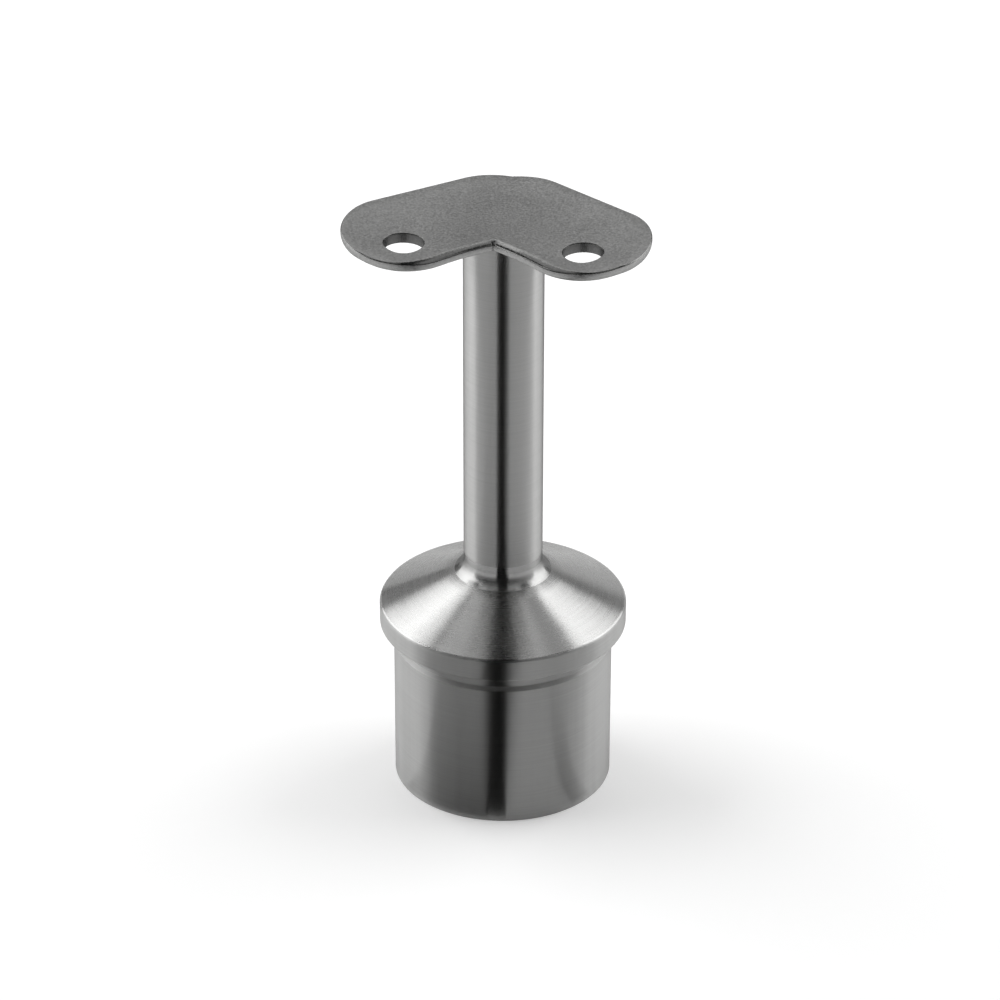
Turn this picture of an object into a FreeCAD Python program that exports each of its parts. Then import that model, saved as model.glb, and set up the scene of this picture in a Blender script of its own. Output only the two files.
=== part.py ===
import FreeCAD, Part
import math
import os

# Corner bracket for the top of a round balustrade post. A plug drops into the post
# tube, a stem rises from the plug's crown, and a pressed saddle on the stem carries
# two handrails that meet at a corner.
# Millimetres. +Z runs up the post's axis, the origin is the middle of the plug's lower
# end, and the saddle is symmetric about the YZ plane, with its arms reaching to -Y.

# The post tube and the corner that the bracket suits
post_tube_diameter = 42.4
post_tube_wall = 2.0
rail_corner_deg = 90.0

# Post cap: hollow plug, relief groove, collar and conical crown
plug_clearance = 0.4
plug_length = 29.4
plug_wall = 3.2
relief_width = 2.75
relief_depth = 0.6
collar_height = 4.1
collar_edge_break = 0.3
crown_slope_deg = 24.9
ceiling_rise = 1.0

# Stem: round bar, flared at the foot, with a spigot in the crown
stem_diameter = 13.5
foot_spread = 1.55
spigot_shoulder = 2.25

# Saddle: pressed plate with a shallow trough along each arm, mitred at the corner
saddle_height = 77.7
trough_radius = 60.0
plate_thickness = 1.8
corner_round = 12.05
tip_reach = 17.65
tip_offset = 2.6
tip_round = 10.95
notch_angle_deg = 110.0
notch_round = 0.6
screw_reach = 20.5
screw_hole_diameter = 6.6
plate_edge_round = 0.75
hole_edge_break = 0.3

# Radii, levels and bearings that follow from the sizes above
collar_radius = post_tube_diameter / 2
plug_radius = collar_radius - post_tube_wall - plug_clearance
hollow_radius = plug_radius - plug_wall
stem_radius = stem_diameter / 2
foot_radius = stem_radius + foot_spread
spigot_radius = stem_radius - spigot_shoulder
under_radius = trough_radius + plate_thickness
crown_slope = math.radians(crown_slope_deg)
seat_level = plug_length
collar_top = seat_level + collar_height
crown_top = collar_top + (collar_radius - foot_radius) * math.tan(crown_slope)
ceiling_level = seat_level + ceiling_rise
trough_level = seat_level + saddle_height
trough_axis_level = trough_level + trough_radius
arm_bearing = math.radians(rail_corner_deg) / 2 - math.pi / 2

ORIGIN = FreeCAD.Vector(0, 0, 0)
ACROSS = FreeCAD.Vector(1, 0, 0)
UP = FreeCAD.Vector(0, 0, 1)


def in_section(radius, height):
    return FreeCAD.Vector(radius, 0, height)


def in_plan(x, y):
    return FreeCAD.Vector(x, y, 0)


def on_arm(along, outward):
    """A point in plan, by its way along the right arm from the post and outward of it."""
    x = along * math.cos(arm_bearing) - outward * math.sin(arm_bearing)
    y = along * math.sin(arm_bearing) + outward * math.cos(arm_bearing)
    return in_plan(x, y)


def on_circle(plane, centre, radius, bearing):
    return centre + plane(radius * math.cos(bearing), radius * math.sin(bearing))


def arc(plane, centre, radius, start, end):
    """An arc from one bearing to another, in the plane given by in_section or in_plan."""
    bearings = (start, (start + end) / 2, end)
    return Part.Arc(*[on_circle(plane, centre, radius, b) for b in bearings]).toShape()


def line(start, end):
    return Part.LineSegment(start, end).toShape()


def polyline(points):
    return [line(a, b) for a, b in zip(points, points[1:])]


def turned(edges):
    """A closed profile turned once about the post's axis."""
    return Part.Face(Part.Wire(edges)).revolve(ORIGIN, UP, 360)


def make_post_cap():
    relief_radius = plug_radius - relief_depth
    relief_level = seat_level - relief_width
    break_inset = collar_edge_break * math.cos(crown_slope)
    break_rise = collar_edge_break * math.sin(crown_slope)
    corners = [
        in_section(hollow_radius, 0),
        in_section(plug_radius, 0),
        in_section(plug_radius, relief_level - relief_depth),
        in_section(relief_radius, relief_level),
        in_section(relief_radius, seat_level),
        in_section(collar_radius - collar_edge_break, seat_level),
        in_section(collar_radius, seat_level + collar_edge_break),
        in_section(collar_radius, collar_top - collar_edge_break),
        in_section(collar_radius - break_inset, collar_top + break_rise),
        in_section(foot_radius, crown_top),
        in_section(spigot_radius, crown_top),
        in_section(spigot_radius, ceiling_level),
        in_section(hollow_radius, ceiling_level),
    ]
    return turned(polyline(corners + corners[:1]))


def make_trough_bar(radius):
    """A round bar above the right arm, mitred over the post, that gives the trough its form."""
    reach = 2 * (tip_reach + tip_round)
    inner_end = on_arm(-reach, 0) + UP * trough_axis_level
    bar = Part.makeCylinder(radius, 2 * reach, inner_end, on_arm(1, 0))
    low_corner = FreeCAD.Vector(0, -2 * reach, trough_axis_level - 2 * radius)
    return bar.common(Part.makeBox(2 * reach, 4 * reach, 4 * radius, low_corner))


def make_stem():
    """The foot flares to run out along the crown, and the top is coped to the saddle."""
    foot_round = foot_spread / (1 - math.sin(crown_slope))
    foot_top = crown_top + foot_round * math.cos(crown_slope)
    foot_centre = in_section(stem_radius + foot_round, foot_top)
    spigot = polyline([
        in_section(0, ceiling_level),
        in_section(spigot_radius, ceiling_level),
        in_section(spigot_radius, crown_top),
        in_section(foot_radius, crown_top),
    ])
    flare = arc(in_section, foot_centre, foot_round, -math.pi / 2 - crown_slope, -math.pi)
    shaft = polyline([
        in_section(stem_radius, foot_top),
        in_section(stem_radius, trough_level),
        in_section(0, trough_level),
        in_section(0, ceiling_level),
    ])
    bar = turned(spigot + [flare] + shaft)
    trough = make_trough_bar(under_radius)
    return bar.cut(trough).cut(trough.mirror(ORIGIN, ACROSS))


def arm_outline():
    """Plan of the right arm: half of the plate's round outer corner, a round tip and half of the
    notch, closed along the mitre."""
    tip = on_arm(tip_reach, tip_offset)
    outer_normal = math.atan2(tip.y, tip.x) + math.acos((corner_round - tip_round) / tip.Length)
    notch_half = math.radians(notch_angle_deg) / 2
    inner_normal = notch_half - math.pi
    inner_offset = tip.dot(on_circle(in_plan, ORIGIN, 1, inner_normal)) + tip_round
    notch = in_plan(0, (inner_offset + notch_round) / math.sin(inner_normal))
    return Part.Wire([
        arc(in_plan, ORIGIN, corner_round, math.pi / 2, outer_normal),
        line(on_circle(in_plan, ORIGIN, corner_round, outer_normal),
             on_circle(in_plan, tip, tip_round, outer_normal)),
        arc(in_plan, tip, tip_round, outer_normal, inner_normal),
        line(on_circle(in_plan, tip, tip_round, inner_normal),
             on_circle(in_plan, notch, notch_round, notch_half)),
        arc(in_plan, notch, notch_round, notch_half, math.pi / 2),
        line(notch + in_plan(0, notch_round), in_plan(0, corner_round)),
    ])


def off_trough_axis(point):
    """How far a point of the right arm is from the axis of its trough."""
    outward = point.y * math.cos(arm_bearing) - point.x * math.sin(arm_bearing)
    return math.hypot(outward, trough_axis_level - point.z)


def upper_rim(arm):
    """Edges of the right arm's outline on its trough face, without the mitre."""
    rim = []
    for edge in arm.Edges:
        points = edge.discretize(5)
        on_face = all(abs(off_trough_axis(p) - trough_radius) < 0.001 for p in points)
        on_mitre = all(abs(p.x) < 0.001 for p in points)
        if on_face and not on_mitre:
            rim.append(edge)
    return rim


def make_screw_cut():
    """The right arm's screw hole with a broken edge above and below, as the solid to take away."""
    radius = screw_hole_diameter / 2
    low = trough_level - plate_thickness + hole_edge_break
    high = trough_level - hole_edge_break
    corners = [
        in_section(0, low - plate_thickness),
        in_section(radius + plate_thickness, low - plate_thickness),
        in_section(radius, low),
        in_section(radius, high),
        in_section(radius + plate_thickness, high + plate_thickness),
        in_section(0, high + plate_thickness),
    ]
    cut = turned(polyline(corners + corners[:1]))
    cut.translate(on_arm(screw_reach, 0))
    return cut


def make_corner_saddle():
    """Each arm is pressed to its trough, rounded along its upper rim and drilled. The two arms
    meet at the mitre as one plate."""
    blank = Part.Face(arm_outline()).extrude(UP * under_radius)
    blank.translate(UP * (trough_level - 2 * plate_thickness))
    arm = blank.common(make_trough_bar(under_radius)).cut(make_trough_bar(trough_radius))
    arm = arm.makeFillet(plate_edge_round, upper_rim(arm))
    arm = arm.cut(make_screw_cut())
    return arm.fuse(arm.mirror(ORIGIN, ACROSS))


os.makedirs("parts", exist_ok=True)
make_post_cap().exportStep("parts/post_cap.step")
make_stem().exportStep("parts/stem.step")
make_corner_saddle().exportStep("parts/corner_saddle.step")
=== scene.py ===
import math
from collections import namedtuple

import bmesh
import bpy
from mathutils import Matrix, Vector
from mathutils.geometry import delaunay_2d_cdt
from mathutils.kdtree import KDTree


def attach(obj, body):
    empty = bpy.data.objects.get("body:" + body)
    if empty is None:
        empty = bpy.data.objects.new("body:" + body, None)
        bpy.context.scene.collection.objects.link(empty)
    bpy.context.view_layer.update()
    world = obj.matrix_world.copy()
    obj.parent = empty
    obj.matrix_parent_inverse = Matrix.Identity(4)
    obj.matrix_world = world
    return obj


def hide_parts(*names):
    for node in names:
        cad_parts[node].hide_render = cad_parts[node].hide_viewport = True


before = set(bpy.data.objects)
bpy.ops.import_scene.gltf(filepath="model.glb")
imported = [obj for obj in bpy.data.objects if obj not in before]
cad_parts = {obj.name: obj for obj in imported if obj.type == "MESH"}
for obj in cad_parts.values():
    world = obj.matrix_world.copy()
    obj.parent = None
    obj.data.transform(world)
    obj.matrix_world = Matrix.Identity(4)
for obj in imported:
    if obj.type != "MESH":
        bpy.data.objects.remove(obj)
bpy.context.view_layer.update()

# Metres, in the part's own frame: +Z up the post's axis, the plug's lower end at z = 0.
MM = 0.001

# Camera: a long lens, a little to the right of the bracket's middle and above it
CAMERA_AZIMUTH_DEG = 6.84
CAMERA_ELEVATION_DEG = 28.83
CAMERA_ROLL_DEG = 0.117
CAMERA_DISTANCE = 0.6984
CAMERA_LENS_MM = 148.06
CAMERA_SENSOR_MM = 36.0
AIM_HEIGHT = 0.05268
AIM_ASIDE = -0.00054

# Bands of the turned steel: their low and high level, the length of the fade at both, and the
# factors for the steel's roughness and colour between them. The colour factors are painted light:
# a painted highlight above 1 and painted shade below it.
Band = namedtuple("Band", "low high fade roughness colour")
# The relief groove's edge: a painted highlight on its colour, lighter where it catches the light
GROOVE_EDGE = Band(0.02600, 0.02675, 0.0001, roughness=1.6, colour=1.7)
# The crown: a painted highlight on its colour, lighter where the upturned cone catches the light
CROWN = Band(0.0334, 0.0500, 0.0001, roughness=0.70, colour=1.32)
# The flare at the stem's foot: painted shade on its colour, damping its bright reflections
FLARE = Band(0.0300, 0.0440, 0.0014, roughness=0.62, colour=0.92)

# Finish of the steel: waves for each metre along X, Y and Z, depths of relief and tones. The face's
# slopes are where the plate's rim runs out into its upper face, by the upright share of the normal.
# The last two are painted shade: colour factors on the rolled rim at the notch and in the screw holes.
NOISE_SPAN = (0.3, 0.7)
RING_WAVES = (40, 40, 5200)
RING_RELIEF = 0.000001
STREAK_WAVES = (420, 420, 12)
STIPPLE_WAVES = (2600, 2600, 2600)
STIPPLE_RELIEF = 0.00002
CLOUD_WAVES = (110, 110, 110)
FACE_SLOPES = (0.85, 0.98)
BLUE_SHARE = 0.99
PAINTED_ROLL_SHADE = 0.45
PAINTED_HOLE_SHADE = 0.4

# Saddle plate, in millimetres. Its edge is rounded below at the arms' tips and rolls over at the
# notch. An edge's size is how far it is rounded across and down.
PLATE_LEVEL = 106.95
TROUGH_RADIUS = 60.0
PLATE_THICKNESS = 1.8
CORNER_ROUND = 11.95
TIP_CENTRE = (14.32, -10.64)
TIP_ROUND = 10.93
NOTCH_HALF = math.radians(55.0)
NOTCH_ROUND = 0.6
TIP_DROOP = 0.6
DROOP_ALONG = (14, 24)
DROOP_INWARD = (-2, 5)
TIP_EDGE = {"upper": (0.20, 0.20), "under": (1.20, 1.30)}
NOTCH_EDGE = {"upper": (1.15, 0.85), "under": (0.30, 0.30)}
ROLL_START = 17.0
ROLL_FULL = 8.0
NOTCH_EDGE_POWER = 1.5
HOLE_CENTRE = (14.5, -14.5)
HOLE_RADIUS = 3.3
HOLE_EDGE = (0.15, 0.15)

# Mesh of the saddle plate: steps, spacing and margin in millimetres, counts of steps and rows, and
# the distance between rows as a share of the spacing
RIM_STEP = 0.4
HOLE_STEP = 0.3
UPPER_EDGE_STEPS = 10
UNDER_EDGE_STEPS = 8
NET_SPACING = 0.8
NET_ROW_SHARE = 0.866
NET_REACH = 40
LOOP_MARGIN = 0.01

# Studio. Heights and spreads in the sky are cosines, to its top and to the side that they name.
FLOOR_SIZE = 6.0
FLOOR_COLOUR = (0.88, 0.88, 0.88, 1.0)
FLOOR_LIFT = 0.18
SKY_LOW = 0.38
SKY_HIGH = 1.1
SKY_HEIGHTS = (0.25, 1.0)
SKY_LEAN = 0.22
BACK_GLOW = 0.6
BACK_SPREAD = (0.80, 0.92)
BACK_HEIGHTS = (0.25, 0.42)
DARK_SIDE_DEG = -20.0
DARK_SIDE_SHARE = 0.15
DARK_SIDE_SPREAD = (0.0, 0.7)
FLAG_SHADE = 0.01
FLAG_LIFT = 0.0004

# The middle flag's rows: distance before the post's axis, height, and places of both sides
MIDDLE_FLAG = [
    (0.020, 0.0005, -0.0034, 0.0006),
    (0.045, 0.0005, -0.0095, 0.0030),
    (0.085, 0.0005, -0.0250, 0.0115),
    (0.14, 0.0005, -0.0460, 0.0360),
    (0.30, 0.0005, -0.100, 0.082),
    (0.45, 0.06, -0.137, 0.112),
    (0.55, 0.25, -0.152, 0.125),
    (0.50, 0.45, -0.132, 0.118),
    (0.30, 0.62, -0.100, 0.095),
    (0.05, 0.70, -0.082, 0.085),
    (-0.20, 0.66, -0.077, 0.082),
]


class Nodes:
    """Short calls that add shader nodes to one tree and link their inputs."""

    def __init__(self, tree):
        self.tree = tree
        tree.nodes.clear()

    def add(self, kind, inputs=None, **settings):
        node = self.tree.nodes.new(kind)
        for name, value in settings.items():
            setattr(node, name, value)
        for key, value in (inputs or {}).items():
            if isinstance(value, bpy.types.NodeSocket):
                self.tree.links.new(value, node.inputs[key])
            else:
                node.inputs[key].default_value = value
        return node

    def math(self, operation, a, b=0.0):
        return self.add("ShaderNodeMath", {0: a, 1: b}, operation=operation).outputs[0]

    def combine(self, x, y, z=0.0):
        return self.add("ShaderNodeCombineXYZ", {"X": x, "Y": y, "Z": z}).outputs[0]

    def split(self, vector):
        return self.add("ShaderNodeSeparateXYZ", {"Vector": vector}).outputs

    def length(self, x, y):
        keys = {0: self.combine(x, y)}
        return self.add("ShaderNodeVectorMath", keys, operation="LENGTH").outputs["Value"]

    def dot(self, a, b):
        return self.add("ShaderNodeVectorMath", {0: a, 1: b}, operation="DOT_PRODUCT").outputs["Value"]

    def tinted(self, colour, factor):
        keys = {0: colour, 1: self.combine(factor, factor, factor)}
        return self.add("ShaderNodeVectorMath", keys, operation="MULTIPLY").outputs["Vector"]

    def blend(self, a, b, share):
        """The first value by its share and the second by the rest."""
        return self.math("ADD", self.math("MULTIPLY", a, share), self.math("MULTIPLY", b, 1 - share))

    def span(self, value, low, high, to_low, to_high):
        """The value's place between low and high, smoothed, as a number from to_low to to_high."""
        keys = {"Value": value, "From Min": low, "From Max": high, "To Min": to_low, "To Max": to_high}
        return self.add("ShaderNodeMapRange", keys, interpolation_type="SMOOTHSTEP").outputs["Result"]

    def noise(self, place, waves, detail, roughness=0.5):
        """Noise whose waves for each metre may differ along X, Y and Z."""
        mapped = self.add("ShaderNodeMapping", {"Vector": place, "Scale": waves}).outputs[0]
        keys = {"Vector": mapped, "Scale": 1.0, "Detail": detail, "Roughness": roughness}
        return self.add("ShaderNodeTexNoise", keys).outputs["Fac"]

    def two_tone(self, value, tones):
        """A grey from the dark tone to the light one, over the values that noise mostly has."""
        ramp = self.add("ShaderNodeValToRGB", {"Fac": value})
        for element, position, tone in zip(ramp.color_ramp.elements, NOISE_SPAN, tones):
            element.position = position
            element.color = (tone, tone, tone * BLUE_SHARE, 1.0)
        return ramp.outputs[0]


def new_material(name):
    material = bpy.data.materials.new(name)
    material.use_nodes = True
    return material, Nodes(material.node_tree)


def steel_shader(nodes, colour, roughness, relief, depth, edge_tint, tangent=None):
    """Bare metal with a fine relief. A tangent makes it brushed along that way."""
    bump = nodes.add("ShaderNodeBump", {"Strength": 1.0, "Distance": depth, "Height": relief})
    keys = {
        "Base Color": colour,
        "Metallic": 1.0,
        "Roughness": roughness,
        "Normal": bump.outputs[0],
        "Specular Tint": (edge_tint, edge_tint, edge_tint, 1.0),
    }
    if tangent is not None:
        keys.update({"Anisotropic": 1.0, "Anisotropic Rotation": 0.25, "Tangent": tangent})
    shader = nodes.add("ShaderNodeBsdfPrincipled", keys)
    nodes.add("ShaderNodeOutputMaterial", {"Surface": shader.outputs[0]})


def turned_steel(name, tones, roughness_span, edge_tint, bands):
    """Steel finished on a lathe: fine rings round the post's axis, on walls and end faces alike."""
    material, nodes = new_material(name)
    axes = nodes.split(nodes.add("ShaderNodeTexCoord").outputs["Object"])
    along = nodes.math("ADD", axes["Z"], nodes.length(axes["X"], axes["Y"]))
    ringed = nodes.combine(axes["X"], axes["Y"], along)
    rings = nodes.noise(ringed, RING_WAVES, detail=4.0, roughness=0.7)
    streaks = nodes.noise(ringed, STREAK_WAVES, detail=3.0, roughness=0.6)
    mixed = nodes.blend(rings, streaks, 0.6)
    roughness = nodes.span(mixed, *NOISE_SPAN, *roughness_span)
    colour = nodes.two_tone(mixed, tones)
    for band in bands:
        above = nodes.span(axes["Z"], band.low, band.low + band.fade, 0.0, 1.0)
        below = nodes.span(axes["Z"], band.high - band.fade, band.high, 1.0, 0.0)
        inside = nodes.math("MULTIPLY", above, below)
        roughness = nodes.math("MULTIPLY", roughness, nodes.span(inside, 0.0, 1.0, 1.0, band.roughness))
        # The band's colour factor is painted light: a painted highlight above 1, painted shade below it
        colour = nodes.tinted(colour, nodes.span(inside, 0.0, 1.0, 1.0, band.colour))
    tangent = nodes.add("ShaderNodeTangent", direction_type="RADIAL", axis="Z").outputs[0]
    steel_shader(nodes, colour, roughness, rings, RING_RELIEF, edge_tint, tangent)
    return material


def across_rim(nodes, slope, to_face, to_wall, roll, wall):
    """A factor of 1 on the plate's upper face, with other values on its rolled rim and its wall.
    The slope is the upright share of the normal, and to_face and to_wall are the spans of it over
    which the factor changes."""
    above = nodes.span(slope, *to_face, roll, 1.0)
    below = nodes.span(slope, *to_wall, wall, roll)
    return nodes.math("MAXIMUM", above, below)


def matt_steel(name, tones, roughness_span, edge_tint):
    """Tumbled sheet steel: a fine stipple with faint cloudy patches, and painted shade where the rim
    rolls over and in the screw holes."""
    material, nodes = new_material(name)
    coordinates = nodes.add("ShaderNodeTexCoord").outputs
    place = coordinates["Object"]
    axes = nodes.split(place)
    slope = nodes.split(coordinates["Normal"])["Z"]
    stipple = nodes.noise(place, STIPPLE_WAVES, detail=2.0, roughness=0.6)
    clouds = nodes.noise(place, CLOUD_WAVES, detail=4.0)
    mixed = nodes.blend(stipple, clouds, 0.75)
    relief = nodes.math("MULTIPLY", stipple, nodes.span(slope, *FACE_SLOPES, 0.2, 1.0))
    polish = across_rim(nodes, slope, to_face=FACE_SLOPES, to_wall=(0.2, 0.5), roll=0.5, wall=1.2)
    roughness = nodes.math("MULTIPLY", nodes.span(stipple, *NOISE_SPAN, *roughness_span), polish)
    aside = nodes.math("SUBTRACT", nodes.math("ABSOLUTE", axes["X"]), HOLE_CENTRE[0] * MM)
    ahead = nodes.math("SUBTRACT", axes["Y"], HOLE_CENTRE[1] * MM)
    hole_wall = (HOLE_RADIUS + HOLE_EDGE[0] / 3) * MM
    hole_rim = (HOLE_RADIUS + HOLE_EDGE[0]) * MM
    # Painted shade: the colour is darker on the walls of the screw holes
    painted_hole_shade = nodes.span(nodes.length(aside, ahead), hole_wall, hole_rim, PAINTED_HOLE_SHADE, 1.0)
    # Painted shade: the colour is darker where the rim rolls over at the notch
    rolled = across_rim(nodes, slope, to_face=(0.86, 0.97), to_wall=(0.15, 0.4), roll=PAINTED_ROLL_SHADE, wall=1.0)
    colour = nodes.tinted(nodes.two_tone(mixed, tones), nodes.math("MULTIPLY", painted_hole_shade, rolled))
    steel_shader(nodes, colour, roughness, relief, STIPPLE_RELIEF, edge_tint)
    return material


def dress(piece, material):
    piece.data.materials.clear()
    piece.data.materials.append(material)


def round_edges(node, width, segments):
    """Small rounds on a node's sharp edges, with flat faces kept flat."""
    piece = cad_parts[node]
    weld = piece.modifiers.new("weld", "WELD")
    weld.merge_threshold = 1e-6
    bevel = piece.modifiers.new("rounds", "BEVEL")
    bevel.width = width
    bevel.segments = segments
    bevel.limit_method = "ANGLE"
    bevel.angle_limit = math.radians(25)
    bevel.harden_normals = False
    normals = piece.modifiers.new("normals", "WEIGHTED_NORMAL")
    normals.keep_sharp = False


def circle_points(centre, radius, start, end, step):
    """Points of an arc with their normals away from its centre, without the last one."""
    count = max(2, round(abs(end - start) * radius / step))
    points = []
    for i in range(count):
        bearing = start + (end - start) * i / count
        normal = Vector((math.cos(bearing), math.sin(bearing)))
        points.append((Vector(centre) + normal * radius, normal))
    return points


def straight_points(start, end, normal, step):
    """Points of a straight stretch with their normal, without the last one."""
    count = max(2, round((end - start).length / step))
    return [(start.lerp(end, i / count), normal) for i in range(count)]


def plate_outline(step):
    """The plate's outline in plan, with outward normals: the right arm from the back to the notch,
    then the left one."""
    tip = Vector(TIP_CENTRE)
    outer = math.atan2(tip.y, tip.x) + math.acos((CORNER_ROUND - TIP_ROUND) / tip.length)
    inner = NOTCH_HALF - math.pi
    outer_normal = Vector((math.cos(outer), math.sin(outer)))
    inner_normal = Vector((math.cos(inner), math.sin(inner)))
    notch = Vector((0, (tip.dot(inner_normal) + TIP_ROUND + NOTCH_ROUND) / math.sin(inner)))
    right = circle_points((0, 0), CORNER_ROUND, math.pi / 2, outer, step)
    right += straight_points(outer_normal * CORNER_ROUND, tip + outer_normal * TIP_ROUND,
                             outer_normal, step)
    right += circle_points(tip, TIP_ROUND, outer, inner, step)
    right += straight_points(tip + inner_normal * TIP_ROUND, notch - inner_normal * NOTCH_ROUND,
                             inner_normal, step)
    right += [(p, -n) for p, n in circle_points(notch, NOTCH_ROUND, NOTCH_HALF, math.pi / 2, step / 4)]
    right.append((notch + Vector((0, NOTCH_ROUND)), Vector((0, -1))))
    left = [(Vector((-p.x, p.y)), Vector((-n.x, n.y))) for p, n in reversed(right[1:-1])]
    return right + left


def on_arm(point):
    """A point's way along the nearer arm from the post, and outward of that arm's middle."""
    return (abs(point.x) - point.y) / math.sqrt(2), (abs(point.x) + point.y) / math.sqrt(2)


def smooth_step(value, low, high):
    part = min(max((value - low) / (high - low), 0), 1)
    return part * part * (3 - 2 * part)


def plate_rise(point, radius):
    """How far a trough of this radius rises at a point of the plan above its lowest line, less
    what the inner side of an arm's tip hangs."""
    along, outward = on_arm(point)
    trough = radius - math.sqrt(radius ** 2 - outward ** 2)
    droop = TIP_DROOP * smooth_step(along, *DROOP_ALONG) * smooth_step(-outward, *DROOP_INWARD)
    return trough - droop


def upper_level(point):
    return PLATE_LEVEL + plate_rise(point, TROUGH_RADIUS)


def under_level(point):
    return PLATE_LEVEL - PLATE_THICKNESS + plate_rise(point, TROUGH_RADIUS + PLATE_THICKNESS)


def rim_sizes(rim, face):
    """The size of the plate's edge at each point of its rim."""
    sizes = []
    for point, normal in rim:
        roll = smooth_step(-abs(point.x), -ROLL_START, -ROLL_FULL) if normal.y < 0 else 0
        sizes.append([a + (b - a) * roll for a, b in zip(TIP_EDGE[face], NOTCH_EDGE[face])])
    return sizes


def rounded_edge(edge, sizes, level, way, steps, power=1.0):
    """Rings of points on a rounded edge, from the wall to the face. The face's level is a function
    of the plan, and way is 1 for an upper face and -1 for an under face. A power above 1 gives a
    flatter edge with tighter rounds."""
    rings = []
    for i in range(steps + 1):
        turn = math.pi / 2 * i / steps
        ring = []
        for (point, normal), (across, deep) in zip(edge, sizes):
            place = point - normal * across * (1 - abs(math.cos(turn)) ** power)
            ring.append((place.x, place.y, level(place) - way * deep * (1 - math.sin(turn) ** power)))
        rings.append(ring)
    return rings


def join_rings(shell, rings):
    """Faces between closed rings of points. Returns the first and the last ring's vertices."""
    loops = [[shell.verts.new(point) for point in ring] for ring in rings]
    for low, high in zip(loops, loops[1:]):
        for i in range(len(low)):
            shell.faces.new((low[i - 1], low[i], high[i], high[i - 1]))
    return loops[0], loops[-1]


def to_hole(place):
    """How far a point of the plan is from the wall of the nearer screw hole."""
    return (Vector((abs(place.x), place.y)) - Vector(HOLE_CENTRE)).length - HOLE_RADIUS


def inner_points(rim, spacing):
    """An even net of points in plan, clear of the plate's edges."""
    widths = [max(a[0], b[0]) for a, b in zip(rim_sizes(rim, "upper"), rim_sizes(rim, "under"))]
    tree = KDTree(len(rim))
    for i, (point, normal) in enumerate(rim):
        tree.insert((point.x, point.y, 0), i)
    tree.balance()
    points = []
    for row in range(-NET_REACH, NET_REACH + 1):
        for column in range(-NET_REACH, NET_REACH + 1):
            place = Vector(((column + row % 2 / 2) * spacing, row * spacing * NET_ROW_SHARE))
            nearest = tree.find((place.x, place.y, 0))[1]
            depth = (rim[nearest][0] - place).dot(rim[nearest][1])
            if depth > widths[nearest] + spacing / 2 and to_hole(place) > HOLE_EDGE[0] + spacing / 2:
                points.append(place)
    return points


def fill_face(shell, loops, points, level):
    """A face of the plate between its outline and its holes, through the points of the net."""
    edge_vertices = [vertex for loop in loops for vertex in loop]
    edges = []
    for loop in loops:
        first = len(edges)
        edges += [(first + i, first + (i + 1) % len(loop)) for i in range(len(loop))]
    plan = [vertex.co.xy for vertex in edge_vertices] + points
    flat, _, faces, sources, _, _ = delaunay_2d_cdt(plan, edges, [], 1, 1e-6)
    vertices = []
    for place, source in zip(flat, sources):
        if source[0] < len(edge_vertices):
            vertices.append(edge_vertices[source[0]])
        else:
            vertices.append(shell.verts.new((place.x, place.y, level(place))))
    for face in faces:
        if any(to_hole(flat[i]) > HOLE_EDGE[0] + LOOP_MARGIN for i in face):
            shell.faces.new([vertices[i] for i in face])


def plate_shell():
    """The plate's edges and faces: its rim, its two holes, and the net between them."""
    rim = plate_outline(RIM_STEP)
    edges = [(rim, rim_sizes(rim, "upper"), rim_sizes(rim, "under"), NOTCH_EDGE_POWER)]
    for side in (1, -1):
        centre = (side * HOLE_CENTRE[0], HOLE_CENTRE[1])
        hole = [(p, -n) for p, n in circle_points(centre, HOLE_RADIUS, 0, 2 * math.pi, HOLE_STEP)]
        sizes = [HOLE_EDGE] * len(hole)
        edges.append((hole, sizes, sizes, 1.0))
    shell = bmesh.new()
    under_loops, upper_loops = [], []
    for edge, upper_sizes, under_sizes, power in edges:
        rings = rounded_edge(edge, under_sizes, under_level, -1, UNDER_EDGE_STEPS)[::-1]
        rings += rounded_edge(edge, upper_sizes, upper_level, 1, UPPER_EDGE_STEPS, power)
        first, last = join_rings(shell, rings)
        under_loops.append(first)
        upper_loops.append(last)
    points = inner_points(rim, NET_SPACING)
    fill_face(shell, upper_loops, points, upper_level)
    fill_face(shell, under_loops, points, under_level)
    return shell


def make_saddle():
    """The pressed plate with its rolled rim, in the CAD saddle's place."""
    shell = plate_shell()
    bmesh.ops.recalc_face_normals(shell, faces=shell.faces)
    bmesh.ops.scale(shell, verts=shell.verts, vec=(MM, MM, MM))
    mesh = bpy.data.meshes.new("saddle_plate")
    shell.to_mesh(mesh)
    shell.free()
    mesh.polygons.foreach_set("use_smooth", [True] * len(mesh.polygons))
    plate = bpy.data.objects.new("saddle_plate", mesh)
    bpy.context.scene.collection.objects.link(plate)
    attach(plate, "root")
    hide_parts("corner_saddle")
    return plate


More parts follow.
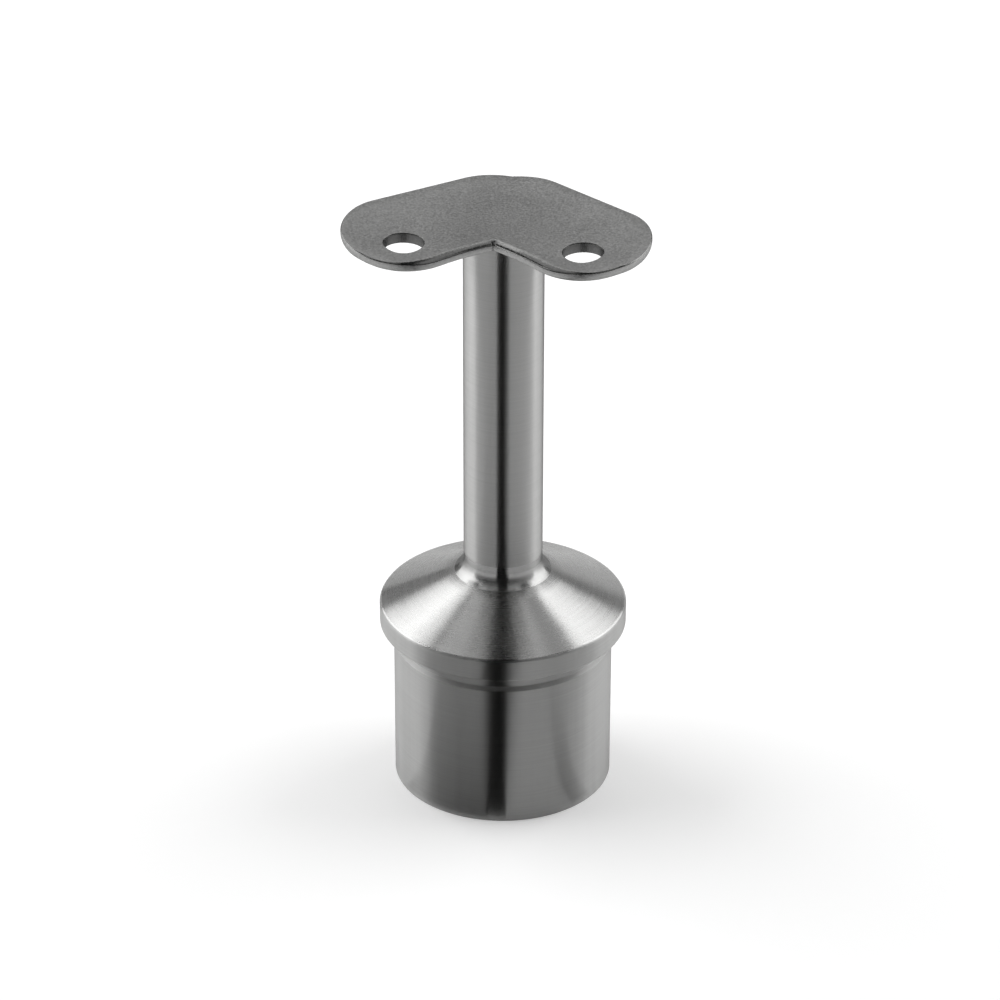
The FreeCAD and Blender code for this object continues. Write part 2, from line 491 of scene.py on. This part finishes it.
def make_floor():
    """A pale floor that looks white to the eye and in the metal, and keeps the object's shadow. It
    is clear from below, where it would hide the bracket's underside."""
    bpy.ops.mesh.primitive_plane_add(size=FLOOR_SIZE)
    floor = bpy.context.object
    floor.name = "floor"
    material, nodes = new_material("pale_floor")
    rays = nodes.add("ShaderNodeLightPath").outputs
    seen = nodes.math("MAXIMUM", rays["Is Camera Ray"], rays["Is Glossy Ray"])
    seen = nodes.math("MAXIMUM", seen, rays["Is Transmission Ray"])
    lift = nodes.math("MULTIPLY", seen, FLOOR_LIFT)
    glow = nodes.add("ShaderNodeEmission", {"Strength": lift}).outputs[0]
    paint = nodes.add("ShaderNodeBsdfDiffuse", {"Color": FLOOR_COLOUR}).outputs[0]
    upper = nodes.add("ShaderNodeAddShader", {0: paint, 1: glow}).outputs[0]
    clear = nodes.add("ShaderNodeBsdfTransparent").outputs[0]
    from_below = nodes.add("ShaderNodeNewGeometry").outputs["Backfacing"]
    shader = nodes.add("ShaderNodeMixShader", {0: from_below, 1: upper, 2: clear})
    nodes.add("ShaderNodeOutputMaterial", {"Surface": shader.outputs[0]})
    floor.data.materials.append(material)


def direction(azimuth_deg, elevation_deg=0.0):
    """The way from the post's axis at this azimuth, counted from the camera's side to its right,
    and this elevation."""
    azimuth = math.radians(CAMERA_AZIMUTH_DEG + azimuth_deg)
    elevation = math.radians(elevation_deg)
    x = math.sin(azimuth) * math.cos(elevation)
    y = -math.cos(azimuth) * math.cos(elevation)
    return Vector((x, y, math.sin(elevation)))


def make_world():
    """A soft tent of light: pale overhead, dimmer at the horizon, dark about the camera and pale
    low behind."""
    world = bpy.data.worlds.new("studio")
    bpy.context.scene.world = world
    world.use_nodes = True
    nodes = Nodes(world.node_tree)
    way = nodes.add("ShaderNodeTexCoord").outputs["Generated"]
    top = (direction(-90) * SKY_LEAN + Vector((0, 0, 1))).normalized()
    height = nodes.dot(way, top)
    sky = nodes.span(height, *SKY_HEIGHTS, SKY_LOW, SKY_HIGH)
    shade = nodes.span(nodes.dot(way, direction(DARK_SIDE_DEG)), *DARK_SIDE_SPREAD, 1.0, DARK_SIDE_SHARE)
    behind = nodes.span(nodes.dot(way, direction(180)), *BACK_SPREAD, 0.0, BACK_GLOW)
    low = nodes.span(height, *BACK_HEIGHTS, 1.0, 0.0)
    strength = nodes.math("ADD", nodes.math("MULTIPLY", sky, shade), nodes.math("MULTIPLY", behind, low))
    shader = nodes.add("ShaderNodeBackground", {"Strength": strength})
    nodes.add("ShaderNodeOutputWorld", {"Surface": shader.outputs[0]})


def dark_card(name, points, shade=FLAG_SHADE):
    """A dark card in strips, between pairs of points. Only the metal shows it."""
    faces = [(i, i + 1, i + 3, i + 2) for i in range(0, len(points) - 2, 2)]
    mesh = bpy.data.meshes.new(name)
    mesh.from_pydata(points, [], faces)
    card = bpy.data.objects.new(name, mesh)
    bpy.context.scene.collection.objects.link(card)
    material, nodes = new_material(name)
    shader = nodes.add("ShaderNodeBsdfDiffuse", {"Color": (shade, shade, shade, 1.0)})
    nodes.add("ShaderNodeOutputMaterial", {"Surface": shader.outputs[0]})
    mesh.materials.append(material)
    card.visible_camera = False
    card.visible_diffuse = False
    card.visible_shadow = False


def make_middle_flag():
    """A ribbon of card from the bracket's foot along the floor, up before it and over it."""
    points = []
    for distance, height, left, right in MIDDLE_FLAG:
        middle = direction(0) * distance + Vector((0, 0, height))
        points += [middle + direction(90) * left, middle + direction(90) * right]
    dark_card("middle_flag", points)


def make_floor_flag(name, azimuths, near, far, shade):
    """A card that lies on the floor beside the bracket."""
    lift = Vector((0, 0, FLAG_LIFT))
    points = [direction(azimuth) * reach + lift for azimuth in azimuths for reach in (near, far)]
    dark_card(name, points, shade)


def make_side_flag(name, azimuths, elevations, distance):
    """A curved card at this distance from the bracket, between two elevations."""
    dark_card(name, [direction(a, e) * distance for a in azimuths for e in elevations])


def soft_box(name, azimuth, elevation, distance, width, height, radiance):
    """A rectangular soft box that faces the bracket."""
    away = direction(azimuth, elevation)
    light = bpy.data.lights.new(name, "AREA")
    light.shape = "RECTANGLE"
    light.size = width
    light.size_y = height
    light.energy = radiance * math.pi * width * height
    lamp = bpy.data.objects.new(name, light)
    lamp.location = Vector((0, 0, AIM_HEIGHT)) + away * distance
    lamp.rotation_euler = away.to_track_quat("Z", "Y").to_euler()
    lamp.visible_camera = False
    bpy.context.scene.collection.objects.link(lamp)


def make_camera():
    away = direction(0, CAMERA_ELEVATION_DEG)
    aim = Vector((0, 0, AIM_HEIGHT)) + direction(90) * AIM_ASIDE
    roll = Matrix.Rotation(math.radians(CAMERA_ROLL_DEG), 4, "Z")
    turn = away.to_track_quat("Z", "Y").to_matrix().to_4x4() @ roll
    data = bpy.data.cameras.new("camera")
    data.lens = CAMERA_LENS_MM
    data.sensor_width = CAMERA_SENSOR_MM
    camera = bpy.data.objects.new("camera", data)
    camera.matrix_world = Matrix.Translation(aim + away * CAMERA_DISTANCE) @ turn
    bpy.context.scene.collection.objects.link(camera)
    bpy.context.scene.camera = camera


# The bracket
round_edges("post_cap", width=0.00012, segments=3)
dress(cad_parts["post_cap"],
      turned_steel("turned_cap_steel", tones=(0.30, 0.38), roughness_span=(0.36, 0.42),
                   edge_tint=0.9, bands=[CROWN, GROOVE_EDGE]))
dress(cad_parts["stem"],
      turned_steel("turned_stem_steel", tones=(0.37, 0.46), roughness_span=(0.35, 0.41),
                   edge_tint=0.3, bands=[FLARE]))
dress(make_saddle(),
      matt_steel("matt_saddle_steel", tones=(0.26, 0.45), roughness_span=(0.32, 0.46), edge_tint=0.45))

# The studio. Azimuths and elevations are in degrees.
make_floor()
make_world()
make_middle_flag()
make_floor_flag("left_floor_flag", azimuths=(-66, -52, -37, -22, -8), near=0.0195, far=0.065, shade=0.36)
make_floor_flag("right_floor_flag", azimuths=(42, 49, 56), near=0.0195, far=0.04, shade=0.45)
make_side_flag("left_flag", azimuths=(-155, -151), elevations=(0, 30), distance=0.7)
make_side_flag("left_high_flag", azimuths=(-118, -104, -90, -76), elevations=(45, 62), distance=0.62)
make_side_flag("right_high_flag", azimuths=(62, 76, 90, 104), elevations=(51, 70), distance=0.62)
soft_box("left_soft_box", azimuth=-110, elevation=29, distance=0.8, width=0.90, height=0.93, radiance=2.1)
soft_box("right_soft_box", azimuth=112, elevation=29, distance=0.8, width=0.72, height=0.93, radiance=2.0)
make_camera()
bpy.context.scene.view_settings.view_transform = "Standard"
